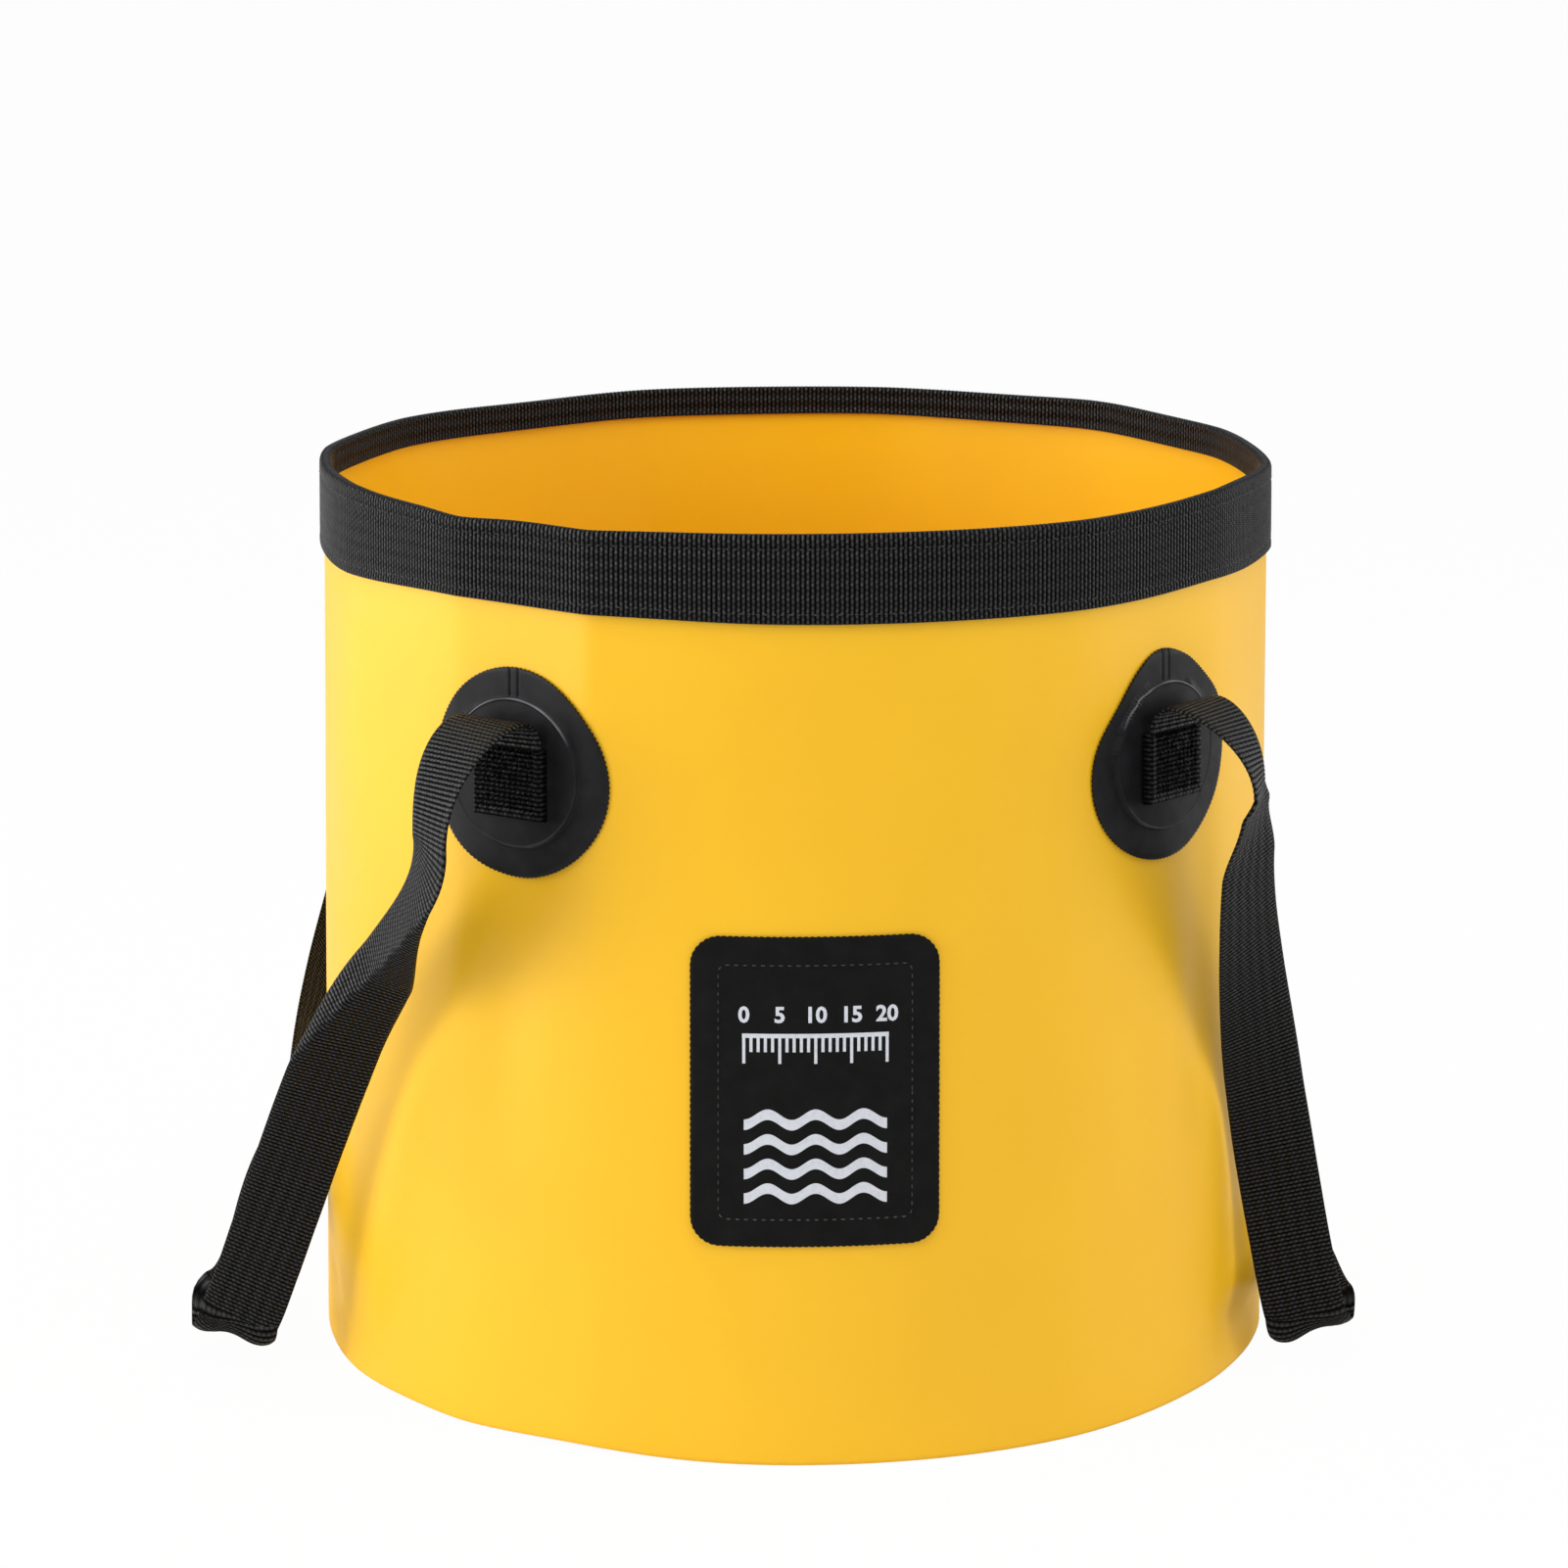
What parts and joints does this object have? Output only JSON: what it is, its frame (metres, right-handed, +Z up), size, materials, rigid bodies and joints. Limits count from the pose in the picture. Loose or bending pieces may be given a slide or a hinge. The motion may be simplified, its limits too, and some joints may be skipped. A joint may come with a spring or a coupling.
{
  "type": "collapsible camp bucket",
  "caption": "Round soft-walled tub that collapses flat, with a taped rim, welded base and a webbing carrying loop on each side.",
  "frame": {"origin": "middle of the base's underside, on the ground", "axes": "+Z up the bucket's axis, -Y to the front with the label, +X to the right of someone facing the front"},
  "size_m": [0.3724, 0.3034, 0.28],
  "materials": {
    "yellow_tarpaulin": "satin yellow PVC-coated tarpaulin",
    "black_webbing": "black ribbed webbing",
    "black_patch_sheet": "matte black PVC sheet"
  },
  "bodies": {
    "rim": {"rim_binding": "black_webbing"},
    "base": {"base_disc": "yellow_tarpaulin", "wall_panel": "yellow_tarpaulin", "label_patch": "black_patch_sheet"},
    "handle_mounts": {"handle_patch_front_left": "black_patch_sheet", "handle_patch_front_right": "black_patch_sheet", "handle_patch_back_left": "black_patch_sheet", "handle_patch_back_right": "black_patch_sheet", "patch_backing_front_left": "black_patch_sheet", "patch_backing_front_right": "black_patch_sheet", "patch_backing_back_left": "black_patch_sheet", "patch_backing_back_right": "black_patch_sheet", "strap_end_front_left": "black_webbing", "strap_end_front_right": "black_webbing", "strap_end_back_left": "black_webbing", "strap_end_back_right": "black_webbing"},
    "left_handle": {"left_strap": "black_webbing"},
    "right_handle": {"right_strap": "black_webbing"}
  },
  "joints": [
    {"name": "collapse", "type": "slide", "parent": "rim", "child": "base", "axis": [0, 0, 1], "range_m": [0, 0.2], "deforming": ["wall_panel", "label_patch"]},
    {"name": "handle_mounts_rise", "type": "slide", "parent": "rim", "child": "handle_mounts", "axis": [0, 0, 1], "range_m": [0, 0.0294], "deforming": ["handle_patch_front_left", "handle_patch_front_right", "handle_patch_back_left", "handle_patch_back_right", "patch_backing_front_left", "patch_backing_front_right", "patch_backing_back_left", "patch_backing_back_right"]},
    {"name": "left_handle_swing", "type": "hinge", "parent": "handle_mounts", "child": "left_handle", "pos_m": [-0.12887, 0, 0.19], "axis": [0, 1, 0], "range_deg": [0, 155]},
    {"name": "right_handle_swing", "type": "hinge", "parent": "handle_mounts", "child": "right_handle", "pos_m": [0.1263, 0, 0.1978], "axis": [0, -1, 0], "range_deg": [0, 155]}
  ],
  "couplings": [
    {"joint": "handle_mounts_rise", "follows": "collapse", "ratio": 0.147}
  ]
}
